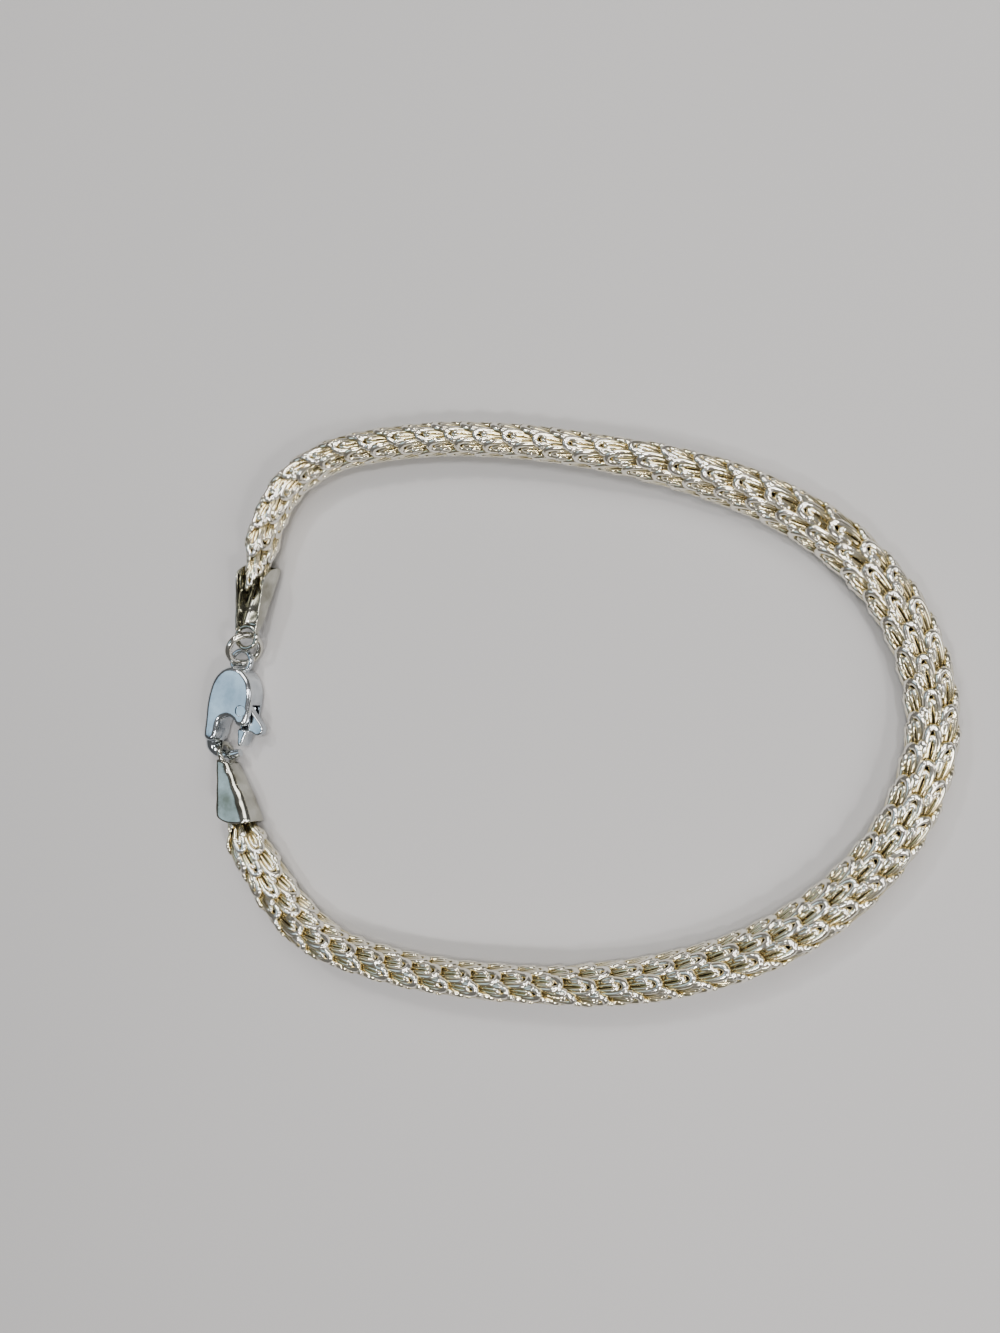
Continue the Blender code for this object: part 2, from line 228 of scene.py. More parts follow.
# Clasp body outline in its own plane, in mm from the eye: along the clasp, then across it.
BODY_OUTLINE = (
    (0.75, -0.6),
    (1.3, -1.55),
    (2.3, -2.25),
    (3.5, -2.58),
    (5.2, -2.7),
    (6.8, -2.58),
    (8.2, -2.52),
    (8.9, -2.3),
    (9.15, -1.65),
    (8.9, -1.05),
    (8.1, -0.82),
    (7.1, -0.76),
    (6.5, -0.45),
    (6.25, 0.2),
    (6.42, 0.85),
    (6.85, 1.25),
    (7.0, 1.75),
    (6.8, 2.35),
    (6.1, 2.6),
    (4.6, 2.7),
    (3.2, 2.6),
    (2.0, 2.15),
    (1.2, 1.4),
    (0.75, 0.6),
)

# Hook of the clasp: along, across, wire radius, in mm.
HOOK = (
    (7.6, -1.65, 0.95),
    (8.8, -1.72, 1.0),
    (9.6, -1.72, 0.84),
    (10.15, -1.3, 0.64),
    (10.4, -0.6, 0.52),
    (10.35, 0.3, 0.5),
    (10.1, 1.1, 0.48),
    (9.85, 1.65, 0.42),
)

# Lever arm outline: along, across, in mm.
ARM_OUTLINE = (
    (7.3, 1.4),
    (8.2, 1.48),
    (8.95, 1.6),
    (9.15, 1.85),
    (8.95, 2.15),
    (8.2, 2.35),
    (7.3, 2.45),
)

# Lever tongue and thumb tab outline: along, across, in mm.
TONGUE_OUTLINE = (
    (4.7, 1.2),
    (5.3, 0.95),
    (6.3, 1.25),
    (7.8, 1.6),
    (7.85, 2.25),
    (7.45, 2.75),
    (7.7, 3.5),
    (7.35, 4.1),
    (6.65, 4.1),
    (5.9, 3.35),
    (5.2, 2.6),
    (4.6, 2.3),
    (4.4, 1.7),
)

# Room for the lever's tongue in the body, open to the mouth and to the thumb side: along, across.
SLOT_OUTLINE = (
    (4.0, 1.7),
    (4.2, 0.65),
    (5.0, 0.1),
    (6.0, -0.15),
    (7.7, -0.3),
    (9.2, 1.9),
    (8.2, 4.9),
    (5.6, 4.9),
    (4.8, 3.05),
    (4.2, 2.4),
)


def link_only(obj, group):
    """Takes the object out of every other collection."""
    for other in list(obj.users_collection):
        other.objects.unlink(obj)
    group.objects.link(obj)


def shade(obj):
    """Smooth shading that keeps the sharp edges."""
    for polygon in obj.data.polygons:
        polygon.use_smooth = True
    obj.data.set_sharp_from_angle(angle=SHARP_ANGLE)


def recalculate(mesh):
    """Joins the doubled points of a curve's mesh and turns its faces outward."""
    work = bmesh.new()
    work.from_mesh(mesh)
    bmesh.ops.remove_doubles(work, verts=work.verts, dist=WELD)
    bmesh.ops.recalc_face_normals(work, faces=work.faces)
    work.to_mesh(mesh)
    work.free()


def mesh_from_curve(curve_obj, name, group):
    """The curve as a mesh object of this name; the curve itself goes."""
    bpy.context.view_layer.update()
    graph = bpy.context.evaluated_depsgraph_get()
    mesh = bpy.data.meshes.new_from_object(curve_obj.evaluated_get(graph))
    mesh.name = name
    recalculate(mesh)
    obj = bpy.data.objects.new(name, mesh)
    group.objects.link(obj)
    obj.matrix_world = curve_obj.matrix_world.copy()
    bpy.data.objects.remove(curve_obj, do_unlink=True)
    return obj


def combine(target, other, operation, hidden_group):
    """Boolean of the target with the other object, which goes to the cutters."""
    modifier = target.modifiers.new(other.name, "BOOLEAN")
    modifier.operation = operation
    modifier.solver = "EXACT"
    modifier.object = other
    link_only(other, hidden_group)


def smooth_path(points, closed, steps):
    """Evenly curved line through the points, steps short lengths to each span."""
    count = len(points)
    spans = count if closed else count - 1
    line = []
    for index in range(spans):
        if closed:
            around = [points[(index + shift) % count] for shift in (-1, 0, 1, 2)]
        else:
            before = points[max(index - 1, 0)]
            after = points[min(index + 2, count - 1)]
            around = [before, points[index], points[index + 1], after]
        a, b, c, d = [Vector(point) for point in around]
        for step in range(steps):
            t = step / steps
            line.append(
                0.5
                * (
                    2 * b
                    + (c - a) * t
                    + (2 * a - 5 * b + 4 * c - d) * t * t
                    + (3 * b - a - 3 * c + d) * t * t * t
                )
            )
    if not closed:
        line.append(Vector(points[-1]))
    return line


def resample(line, count):
    """Points at equal lengths along the line, and the whole length."""
    lengths = [0.0]
    for first, second in zip(line, line[1:]):
        lengths.append(lengths[-1] + (second - first).length)
    total = lengths[-1]
    found = []
    index = 0
    for number in range(count):
        wanted = total * number / (count - 1)
        while index < len(line) - 2 and lengths[index + 1] < wanted:
            index += 1
        share = (wanted - lengths[index]) / (lengths[index + 1] - lengths[index])
        found.append(line[index].lerp(line[index + 1], min(max(share, 0.0), 1.0)))
    return found, total


def table_value(table, share, column):
    """Value of the table at this share, eased between its rows."""
    for first, second in zip(table, table[1:]):
        if share <= second[0]:
            t = ease((share - first[0]) / (second[0] - first[0]))
            return first[column] + (second[column] - first[column]) * t
    return table[-1][column]


def half_height(roll):
    """Half height of the oval section when it is rolled by this angle."""
    tall = 0.5 * CHAIN_BROAD * math.sin(roll)
    flat = 0.5 * CHAIN_NARROW * math.cos(roll)
    return math.hypot(tall, flat)


def ease(t):
    """Share from 0 to 1 with a soft start and end."""
    t = min(max(t, 0.0), 1.0)
    return t * t * (3 - 2 * t)


def direction(turn, rise=0.0):
    """Unit vector at this turn in plan, with a rise for each unit along."""
    return Vector((math.cos(turn), math.sin(turn), rise)).normalized()


def clasp_frame():
    """From the clasp's own drawing, with its eye at the origin, to its place."""
    frame = Matrix.Rotation(CLASP_TURN, 4, "Z")
    frame.translation = CLASP_EYE
    return frame


def cap_axes():
    """Ring centre, and direction from the ring to the chain, of cap a and of cap b."""
    along_a = direction(CAP_A_TURN)
    along_b = direction(CLASP_TURN + CAP_B_LEAN, CAP_B_RISE / CAP_LENGTH)
    return (CAP_A_RING, along_a), (clasp_frame() @ CAP_B_SEAT, along_b)


def chain_line():
    """Points of the chain's middle line, with share of full size and roll at each."""
    axes = cap_axes()
    start, end = [ring + along * (CAP_LENGTH - CHAIN_IN_CAP) for ring, along in axes]
    plan = [Vector((start.x, start.y))]
    plan.extend(Vector(point) * MM for point in ROUTE)
    plan.append(Vector((end.x, end.y)))
    dense = smooth_path(plan, False, ROUTE_SPAN)
    count = CHAIN_REPEATS * RINGS_PER_REPEAT + 1
    points, total = resample(dense, count)
    rows = []
    for number, point in enumerate(points):
        share = number / (count - 1)
        roll = math.radians(table_value(ROLL, share, 1))
        inside = min(share, 1 - share) * total
        ring, along = axes[0] if share < 0.5 else axes[1]
        if inside < CHAIN_IN_CAP:
            size = END_SHARE + (MOUTH_SHARE - END_SHARE) * inside / CHAIN_IN_CAP
            height = ring.z + along.z * (CAP_LENGTH - CHAIN_IN_CAP + inside)
        else:
            outside = inside - CHAIN_IN_CAP
            size = MOUTH_SHARE + (1.0 - MOUTH_SHARE) * ease(outside / NARROWING)
            mouth = ring.z + along.z * CAP_LENGTH
            height = mouth + (half_height(roll) - mouth) * ease(outside / SETTLING)
        rows.append((Vector((point.x, point.y, height)), size, roll))
    return rows


def make_cap(name, ring_place, along, open_way, group, helpers):
    """Folded sheet cap: x runs from its ring to the chain, z to its open side."""
    columns = list(CAP_SECTION) + [(-a, b) for a, b in reversed(CAP_SECTION[:-1])]
    points = []
    for row in range(CAP_ROWS):
        share = row / (CAP_ROWS - 1)
        half = table_value(CAP_STATIONS, share, 1) * MM
        depth = table_value(CAP_STATIONS, share, 2) * MM
        top = table_value(CAP_STATIONS, share, 3) * MM
        for across, up in columns:
            begin = CAP_START + CAP_START_RAKE * (1 - up) ** 2
            arc = 1 - math.sqrt(1 - (CAP_END_TURN * up) ** 2)
            finish = CAP_LENGTH - CAP_END_ARC * arc
            length = begin + (finish - begin) * share
            points.append((length, across * half, -depth + (depth + top) * up))
    width = len(columns)
    faces = []
    for row in range(CAP_ROWS - 1):
        for column in range(width - 1):
            first = row * width + column
            faces.append((first, first + 1, first + width + 1, first + width))
    mesh = bpy.data.meshes.new(name)
    mesh.from_pydata(points, [], faces)
    cap = bpy.data.objects.new(name, mesh)
    group.objects.link(cap)
    sheet = cap.modifiers.new("sheet", "SOLIDIFY")
    sheet.thickness = CAP_SHEET
    sheet.offset = -1.0
    sheet.use_even_offset = True
    smooth = cap.modifiers.new("smooth", "SUBSURF")
    smooth.levels = CAP_SMOOTHING
    smooth.render_levels = CAP_SMOOTHING
    bpy.ops.mesh.primitive_torus_add(
        major_radius=CAP_RING_RADIUS,
        minor_radius=CAP_RING_WIRE,
        major_segments=RING_STEPS,
        minor_segments=WIRE_SIDES,
    )
    ring = bpy.context.object
    ring.name = name + "_ring"
    side = open_way.cross(along).normalized()
    open_way = along.cross(side)
    frame = Matrix((along, side, open_way)).transposed().to_4x4()
    frame.translation = ring_place
    cap.matrix_world = frame
    ring.matrix_world = frame
    combine(cap, ring, "UNION", helpers)
    shade(cap)
    shade(ring)
    return cap


def outline_solid(name, outline, thick, edge, steps, group):
    """Flat plate with rounded edges, drawn through the outline in the plane z = 0."""
    curve = bpy.data.curves.new(name, "CURVE")
    curve.dimensions = "2D"
    curve.fill_mode = "BOTH"
    curve.extrude = 0.5 * thick - edge
    curve.bevel_depth = edge
    curve.bevel_resolution = EDGE_STEPS
    curve.offset = -edge
    around = smooth_path([Vector(point) * MM for point in outline], True, steps)
    spline = curve.splines.new("POLY")
    spline.points.add(len(around) - 1)
    for point, place in zip(spline.points, around):
        point.co = (place.x, place.y, 0.0, 1.0)
    spline.use_cyclic_u = True
    obj = bpy.data.objects.new(name + "_line", curve)
    group.objects.link(obj)
    return mesh_from_curve(obj, name, group)


def cylinder(name, radius, height, place, group, sides=HOLE_SIDES):
    """Upright cylinder with its middle at the place."""
    bpy.ops.mesh.primitive_cylinder_add(vertices=sides, radius=radius, depth=height)
    obj = bpy.context.object
    obj.name = name
    obj.matrix_world = Matrix.Translation(place)
    link_only(obj, group)
    return obj


def make_hook(group):
    """Round wire of the hook, which the ring of cap b hangs on."""
    curve = bpy.data.curves.new("hook", "CURVE")
    curve.dimensions = "3D"
    # The points' radii are in mm.
    curve.bevel_depth = MM
    curve.bevel_resolution = HOOK_STEPS
    curve.use_fill_caps = True
    rows = smooth_path([Vector(point) for point in HOOK], False, HOOK_SPAN)
    spline = curve.splines.new("POLY")
    spline.points.add(len(rows) - 1)
    for point, row in zip(spline.points, rows):
        point.co = (row.x * MM, row.y * MM, 0.0, 1.0)
        point.radius = row.z
    obj = bpy.data.objects.new("hook_line", curve)
    group.objects.link(obj)
    return mesh_from_curve(obj, "clasp_hook", group)


def make_clasp(group, helpers):
    """Body with hook, eye, slot and holes, the lever, and the rivet that it turns on."""
    body = outline_solid(
        "clasp_body", BODY_OUTLINE, CLASP_THICK, CLASP_EDGE, BODY_SPAN, group
    )
    hook = make_hook(helpers)
    combine(body, hook, "UNION", helpers)
    bpy.ops.mesh.primitive_torus_add(
        major_radius=EYE_RADIUS,
        minor_radius=EYE_WIRE,
        major_segments=RING_STEPS,
        minor_segments=WIRE_SIDES,
    )
    eye = bpy.context.object
    eye.name = "clasp_eye"
    combine(body, eye, "UNION", helpers)
    slot = outline_solid(
        "clasp_slot", SLOT_OUTLINE, SLOT_THICK, SLOT_EDGE, SLOT_SPAN, helpers
    )
    combine(body, slot, "DIFFERENCE", helpers)
    hole = cylinder("clasp_hole", PIN_HOLE, 2 * CLASP_THICK, PIVOT, helpers)
    combine(body, hole, "DIFFERENCE", helpers)
    lever = outline_solid(
        "clasp_lever", TONGUE_OUTLINE, TONGUE_THICK, TONGUE_EDGE, TONGUE_SPAN, group
    )
    arm = outline_solid("clasp_arm", ARM_OUTLINE, LEVER_THICK, ARM_EDGE, ARM_SPAN, helpers)
    combine(lever, arm, "UNION", helpers)
    lever_hole = cylinder("lever_hole", PIN_HOLE, 2 * CLASP_THICK, PIVOT, helpers)
    combine(lever, lever_hole, "DIFFERENCE", helpers)
    length = CLASP_THICK - 2 * PIN_GAP - PIN_HEAD_HEIGHT
    pin = cylinder("clasp_pin", PIN_RADIUS, length, PIVOT, group, PIN_SIDES)
    ends = []
    for side in (-1, 1):
        shift = Vector((0.0, 0.0, side * 0.5 * length))
        head = cylinder("pin_head", PIN_HEAD, PIN_HEAD_HEIGHT, PIVOT + shift, helpers)
        combine(pin, head, "UNION", helpers)
        face = Vector((0.0, 0.0, side * 0.5 * CLASP_THICK))
        radius = PIN_HEAD + PIN_GAP
        recess = cylinder("pin_recess", radius, 2 * PIN_RECESS, PIVOT + face, helpers)
        combine(body, recess, "DIFFERENCE", helpers)
        ends.extend((head, recess))
    lever.data.transform(Matrix.Translation(-PIVOT))
    lever.matrix_world = Matrix.Translation(PIVOT)
    frame = clasp_frame()
    for obj in (body, hook, eye, slot, hole, lever, arm, lever_hole, pin, *ends):
        obj.matrix_world = frame @ obj.matrix_world
    for obj in (body, hook, eye, lever, arm, pin):
        shade(obj)
    return body, lever, pin


def make_jump_ring(group):
    """Ring through the ring of cap a and the eye of the clasp, leaning over to the right."""
    reach = CLASP_EYE - CAP_A_RING
    middle = (CLASP_EYE + CAP_A_RING) / 2
    along = reach.normalized()
    flat = Vector((0.0, 0.0, 1.0)).cross(along).normalized()
    upright = along.cross(flat)
    across = flat * math.cos(JUMP_TILT) - upright * math.sin(JUMP_TILT)
    normal = along.cross(across)
    bpy.ops.mesh.primitive_torus_add(
        major_radius=JUMP_RADIUS,
        minor_radius=JUMP_WIRE,
        major_segments=JUMP_STEPS,
        minor_segments=WIRE_SIDES,
    )
    ring = bpy.context.object
    ring.name = "jump_ring"
    frame = Matrix((along, across, normal)).transposed().to_4x4()
    frame.translation = middle
    ring.matrix_world = frame
    link_only(ring, group)
    shade(ring)
    return ring


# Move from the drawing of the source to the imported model, read from the jump ring's box.
RING_LOW, RING_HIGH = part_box("jump_ring")
SHIFT = (RING_LOW + RING_HIGH) / 2 - (CLASP_EYE + CAP_A_RING) / 2

# Rows of wire loops round the chain's oval: angle, lead and length in repeats, then half width,
# wire radius, depth of the head under the surface and dive of the tail, in mm.
OUTER_ROWS = (
    (0, 0.5, 1.5, 0.60, 0.30, 0.0, 1.1),
    (48, 0.0, 1.5, 0.62, 0.33, 0.0, 1.1),
    (90, 0.4, 1.5, 0.52, 0.29, 0.0, 1.0),
    (132, -0.15, 1.5, 0.62, 0.33, 0.0, 1.1),
    (180, 0.5, 1.5, 0.60, 0.30, 0.0, 1.1),
    (228, 0.0, 1.5, 0.62, 0.33, 0.0, 1.1),
    (270, 0.4, 1.5, 0.52, 0.29, 0.0, 1.0),
    (312, -0.15, 1.5, 0.62, 0.33, 0.0, 1.1),
)
# Smaller loops that fill each row, and short knots between two rows: how far they are turned and
# moved ahead from the row's own loops, then length and the rest as above.
FILLING = (0, -0.02, 0.95, 0.27, 0.22, 0.12, 0.7)
KNOTS = (23, 0.27, 0.36, 0.17, 0.25, 0.02, 0.25)
INNER_ROWS = tuple(
    (angle + turned, lead + ahead, *rest)
    for turned, ahead, *rest in (FILLING, KNOTS)
    for angle, lead, *_ in OUTER_ROWS
)
# Facets along and round the wire of a loop.
OUTER_STEPS = 20
OUTER_SIDES = 8
INNER_STEPS = 14
INNER_SIDES = 6
# Most that loops differ, each way: place along in repeats, width as a share, place across in mm,
# lean as a share of the width, and depth in mm.
PLACE_SPREAD = 0.02
WIDTH_SPREAD = 0.04
SIDE_SPREAD = 0.03
LEAN_SPREAD = 0.04
DEPTH_SPREAD = 0.04
# Repeats kept free between the last loop and the chain's end.
END_FREE = 0.04
# Shape of a loop: how full its sides are, how much wider its head is than its middle, and how much
# thicker the wire is at the head, which lies on top.
LOOP_FULLNESS = 0.75
HEAD_SPREAD = 0.34
HEAD_THICKENING = 0.3
# Powers: how close to the head the wire thickens, and how late the tail dives.
HEAD_POWER = 4
DIVE_POWER = 1.5
# Depth under the surface, in mm, at which the painted shade on the wire is darkest.
PAINTED_SHADE_DEPTH = 1.5
# Start of the random differences.
WEAVE_SEED = 11
# Dark core, a tube of painted shade in the hollow of the weave: how far it stays under the surface
# in mm, the repeats that it stops short of at each end, and its sides.
CORE_INSET = 1.3
CORE_SHORT = 1.4
CORE_SIDES = 16

# Bright and dull silver of the chain's wire, the caps, the rings and the clasp. The caps, rings
# and clasp are darker than polished silver: painted shade, so that their sides, which reflect the
# pale floor, stay dark.
WIRE_BRIGHT = (0.97, 0.95, 0.91)
WIRE_DULL = (0.88, 0.84, 0.74)
CAP_BRIGHT = (0.56, 0.56, 0.50)
CAP_DULL = (0.22, 0.21, 0.155)
RING_BRIGHT = (0.76, 0.75, 0.71)
RING_DULL = (0.58, 0.56, 0.48)
CLASP_BRIGHT = (0.68, 0.72, 0.75)
CLASP_DULL = (0.38, 0.42, 0.46)
# Tarnish of the silver: scale and detail of its noise, and the values of the noise at which the
# silver is bright and dull.
CLOUD_SCALE = 420.0
CLOUD_DETAIL = 4.0
CLOUD_BRIGHT = 0.38
CLOUD_DULL = 0.72
# Patches of lower and higher roughness: scale and detail of their noise, and the least and most
# as shares of a metal's own.
WEAR_SCALE = 1500.0
WEAR_DETAIL = 2.0
WEAR_LEAST = 0.7
WEAR_MOST = 1.5
# Fine scratches: scale and detail of their noise, how it is drawn out and turned, and depth.
SCRATCH_SCALE = 900.0
SCRATCH_DETAIL = 3.0
SCRATCH_STRETCH = (1.0, 9.0, 9.0)
SCRATCH_TURN = (0.0, 0.0, 0.6)
SCRATCH_DEPTH = 0.02 * MM
# Slow waves in the polish: scale and detail of their noise, and depth.
WAVE_SCALE = 450.0
WAVE_DETAIL = 1.0
WAVE_DEPTH = 0.15 * MM
# Roughness, strength of the scratches and strength of the waves of each metal.
WIRE_FINISH = (0.14, 0.25, 0.0)
CAP_FINISH = (0.10, 0.2, 0.7)
RING_FINISH = (0.12, 0.2, 0.0)
CLASP_FINISH = (0.12, 0.35, 0.4)

# Painted shade of the wire down in the weave, warm and then dark, by share of the darkest depth;
# the warm tones are painted reflection between the wires.
WEAVE_PAINTED_SHADE = (
    (0.0, (1.0, 1.0, 1.0)),
    (0.12, (0.99, 0.97, 0.86)),
    (0.23, (0.84, 0.77, 0.52)),
    (0.35, (0.40, 0.34, 0.19)),
    (0.52, (0.10, 0.08, 0.045)),
    (1.0, (0.02, 0.017, 0.012)),
)
# Dark core's painted shade: its tones along a noise, the noise's scale and detail, then metallic
# and roughness.
CORE_PAINTED_SHADE = ((0.3, (0.012, 0.010, 0.008)), (0.8, (0.05, 0.042, 0.03)))
CORE_CLOUD_SCALE = 900.0
CORE_CLOUD_DETAIL = 3.0
CORE_METALLIC = 0.7
CORE_ROUGHNESS = 0.6
FLOOR_TONES = ((0.3, (0.50, 0.495, 0.485)), (0.7, (0.54, 0.53, 0.52)))
FLOOR_CLOUD_SCALE = 6.0
FLOOR_CLOUD_DETAIL = 2.0
FLOOR_ROUGHNESS = 0.75
FLOOR_SIZE = 8.0
# How far the floor lies under the chain, so that their faces don't meet.
FLOOR_DROP = 0.03 * MM

# Soft lights, all turned to the origin: name, place, size, power and colour. The first gives the
# clasp's face its blue.
SOFT_LIGHTS = (
    ("clasp_soft", (-0.24, 0.02, 0.33), 0.18, 0.10, (0.55, 0.80, 1.0)),
    ("top_soft", (0.05, 0.24, 0.32), 0.20, 0.58, (1.0, 0.98, 0.95)),
    ("side_soft", (0.26, -0.20, 0.26), 0.14, 0.34, (1.0, 0.98, 0.96)),
    ("rim_soft", (0.32, 0.02, 0.19), 0.14, 0.22, (1.0, 0.97, 0.97)),
)
# Small lamps, for the bright points on the wire.
LAMP_PLACES = (
    (0.12, 0.04, 0.34),
    (-0.03, -0.17, 0.33),
    (0.20, -0.16, 0.27),
    (-0.12, 0.20, 0.30),
    (0.02, 0.03, 0.42),
)
LAMP_SIZE = 0.04
LAMP_POWER = 0.30
LAMP_COLOR = (1.0, 0.97, 0.98)
WORLD_COLOR = (0.19, 0.185, 0.18, 1.0)
WORLD_STRENGTH = 0.8

# Camera of the photograph, found from its perspective: its place in the drawing's frame, and how
# far it is turned from straight down, about x and then about y.
CAMERA_PLACE = Vector((24.02, -2.08, 97.5)) * MM
CAMERA_TURN_X = math.radians(3.223)
CAMERA_TURN_Y = math.radians(17.353)
CAMERA_LENS = 27.0
CAMERA_SENSOR = 36.0
# Nearest and farthest that the camera sees, in metres.
CAMERA_NEAR = 0.005
CAMERA_FAR = 10.0


def between(table, index):
    """Rows of the table at fractional indices."""
    low = np.clip(np.floor(index).astype(int), 0, len(table) - 2)
    part = index - low
    if table.ndim > 1:
        part = part[..., None]
    return table[low] * (1 - part) + table[low + 1] * part


def unit(vectors):
    """The same directions at length 1."""
    return vectors / np.linalg.norm(vectors, axis=-1, keepdims=True)


def chain_frames():
    """Places, sizes, and broad and narrow directions along the chain."""
    rows = chain_line()
    places = np.array([tuple(place + SHIFT) for place, size, roll in rows])
    sizes = np.array([size for place, size, roll in rows])
    rolls = np.array([roll for place, size, roll in rows])[:, None]
    ahead = unit(np.gradient(places, axis=0))
    flat = unit(np.cross(ahead, (0.0, 0.0, 1.0)))
    up = np.cross(flat, ahead)
    broad = np.cos(rolls) * flat - np.sin(rolls) * up
    narrow = np.cos(rolls) * up + np.sin(rolls) * flat
    return places, sizes, broad, narrow


def tube_quads(count, steps, sides):
    """Faces of closed loops of wire, all with the same steps and sides."""
    loop, step, side = np.meshgrid(
        np.arange(count), np.arange(steps), np.arange(sides), indexing="ij"
    )
    after = (step + 1) % steps
    beside = (side + 1) % sides
    corners = [
        (loop * steps + step) * sides + side,
        (loop * steps + after) * sides + side,
        (loop * steps + after) * sides + beside,
        (loop * steps + step) * sides + beside,
    ]
    return np.stack(corners, axis=-1).reshape(-1, 4)


def loops_of_row(row, steps, sides, frames, rng):
    """Points, quads and depths of one row of leaning wire loops along the chain."""
    places, sizes, broad, narrow = frames
    angle, lead, length, half, wire, head, dive = row
    half_b = 0.5 * CHAIN_BROAD / MM
    half_n = 0.5 * CHAIN_NARROW / MM
    t = np.linspace(0, 2 * np.pi, steps, endpoint=False)[None, :]
    phi = np.linspace(0, 2 * np.pi, sides, endpoint=False)
    theta0 = math.radians(angle)
    middles = np.arange(CHAIN_REPEATS + 2) - 0.5 + lead
    margin = 0.5 * length + END_FREE
    middles = middles[(middles > margin) & (middles < CHAIN_REPEATS - margin)][:, None]
    count = len(middles)
    middles = middles + rng.uniform(-PLACE_SPREAD, PLACE_SPREAD, (count, 1))
    halves = half * (1 + rng.uniform(-WIDTH_SPREAD, WIDTH_SPREAD, (count, 1)))
    aside = rng.uniform(-SIDE_SPREAD, SIDE_SPREAD, (count, 1))
    lean = rng.uniform(-LEAN_SPREAD, LEAN_SPREAD, (count, 1))
    s = middles + 0.5 * length * np.cos(t)
    tail = (1 + np.cos(t)) / 2
    swell = np.sign(np.sin(t)) * np.abs(np.sin(t)) ** LOOP_FULLNESS
    across = swell * (1 - HEAD_SPREAD * np.cos(t)) + lean * np.cos(t)
    arc = math.hypot(
        (half_b - wire) * math.sin(theta0), (half_n - wire) * math.cos(theta0)
    )
    theta = theta0 + (halves * across + aside) / arc
    radius = wire * (1 + HEAD_THICKENING * (1 - tail) ** HEAD_POWER)
    sunk = rng.uniform(0.0, DEPTH_SPREAD, (count, 1))
    inset = radius + head + dive * tail**DIVE_POWER + sunk
    nb = np.cos(theta) / half_b
    nn = np.sin(theta) / half_n
    norm = np.hypot(nb, nn)
    nb, nn = nb / norm, nn / norm
    index = s * RINGS_PER_REPEAT
    size = between(sizes, index)[..., None]
    b_way, n_way = between(broad, index), between(narrow, index)
    out = b_way * nb[..., None] + n_way * nn[..., None]
    place_b = (half_b * np.cos(theta) - inset * nb)[..., None]
    place_n = (half_n * np.sin(theta) - inset * nn)[..., None]
    line = between(places, index) + (b_way * place_b + n_way * place_n) * size * MM
    along = unit(np.roll(line, -1, axis=1) - np.roll(line, 1, axis=1))
    one = unit(out - (out * along).sum(-1, keepdims=True) * along)
    two = np.cross(along, one)
    reach = (radius[..., None] * size * MM)[:, :, None, :]
    turn_one = np.cos(phi)[:, None] * one[:, :, None, :]
    turn_two = np.sin(phi)[:, None] * two[:, :, None, :]
    tube = line[:, :, None, :] + reach * (turn_one + turn_two)
    # Depth of each point under the surface, for the painted shade of the weave.
    deep = inset[:, :, None] - radius[:, :, None] * np.cos(phi)
    shares = np.clip(deep / PAINTED_SHADE_DEPTH, 0, 1)
    return tube.reshape(-1, 3), tube_quads(count, steps, sides), shares.reshape(-1)


def weave_piece(name, points, faces, depths, materials, kinds):
    """One mesh of the weave, with each point's depth kept for the painted shade in its colour."""
    mesh = bpy.data.meshes.new(name)
    mesh.from_pydata(points.tolist(), [], faces)
    shares = mesh.attributes.new("depth", "FLOAT", "POINT")
    shares.data.foreach_set("value", depths.astype(np.float32))
    mesh.polygons.foreach_set("use_smooth", np.ones(len(faces), bool))
    for material in materials:
        mesh.materials.append(material)
    mesh.polygons.foreach_set("material_index", kinds)
    piece = bpy.data.objects.new(name, mesh)
    bpy.context.scene.collection.objects.link(piece)
    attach(piece, "bracelet")
    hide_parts("chain")


def row_set(rows, steps, sides, frames, rng):
    """Points, quads and depths of several rows together."""
    points, quads, depths = [], [], []
    total = 0
    for row in rows:
        tube, corners, deep = loops_of_row(row, steps, sides, frames, rng)
        points.append(tube)
        quads.append(corners + total)
        depths.append(deep)
        total += len(tube)
    return np.concatenate(points), np.concatenate(quads), np.concatenate(depths)


def core_tube(frames):
    """Dark middle of the chain, an oval tube with closed ends, painted shade in its hollow."""
    short = int(CORE_SHORT * RINGS_PER_REPEAT)
    places, sizes, broad, narrow = [part[short:-short] for part in frames]
    sides = CORE_SIDES
    turn = np.linspace(0, 2 * np.pi, sides, endpoint=False)
    core_b = (0.5 * CHAIN_BROAD - CORE_INSET * MM) * np.cos(turn)[None, :, None]
    core_n = (0.5 * CHAIN_NARROW - CORE_INSET * MM) * np.sin(turn)[None, :, None]
    core = broad[:, None, :] * core_b + narrow[:, None, :] * core_n
    core = places[:, None, :] + core * sizes[:, None, None]
    row, side = np.meshgrid(np.arange(len(places) - 1), np.arange(sides), indexing="ij")
    after = (side + 1) % sides
    corners = [
        row * sides + side,
        row * sides + after,
        (row + 1) * sides + after,
        (row + 1) * sides + side,
    ]
    faces = np.stack(corners, axis=-1).reshape(-1, 4).tolist()
    last = (len(places) - 1) * sides
    faces.append(list(range(sides)))
    faces.append([last + step for step in reversed(range(sides))])
    return core.reshape(-1, 3), faces


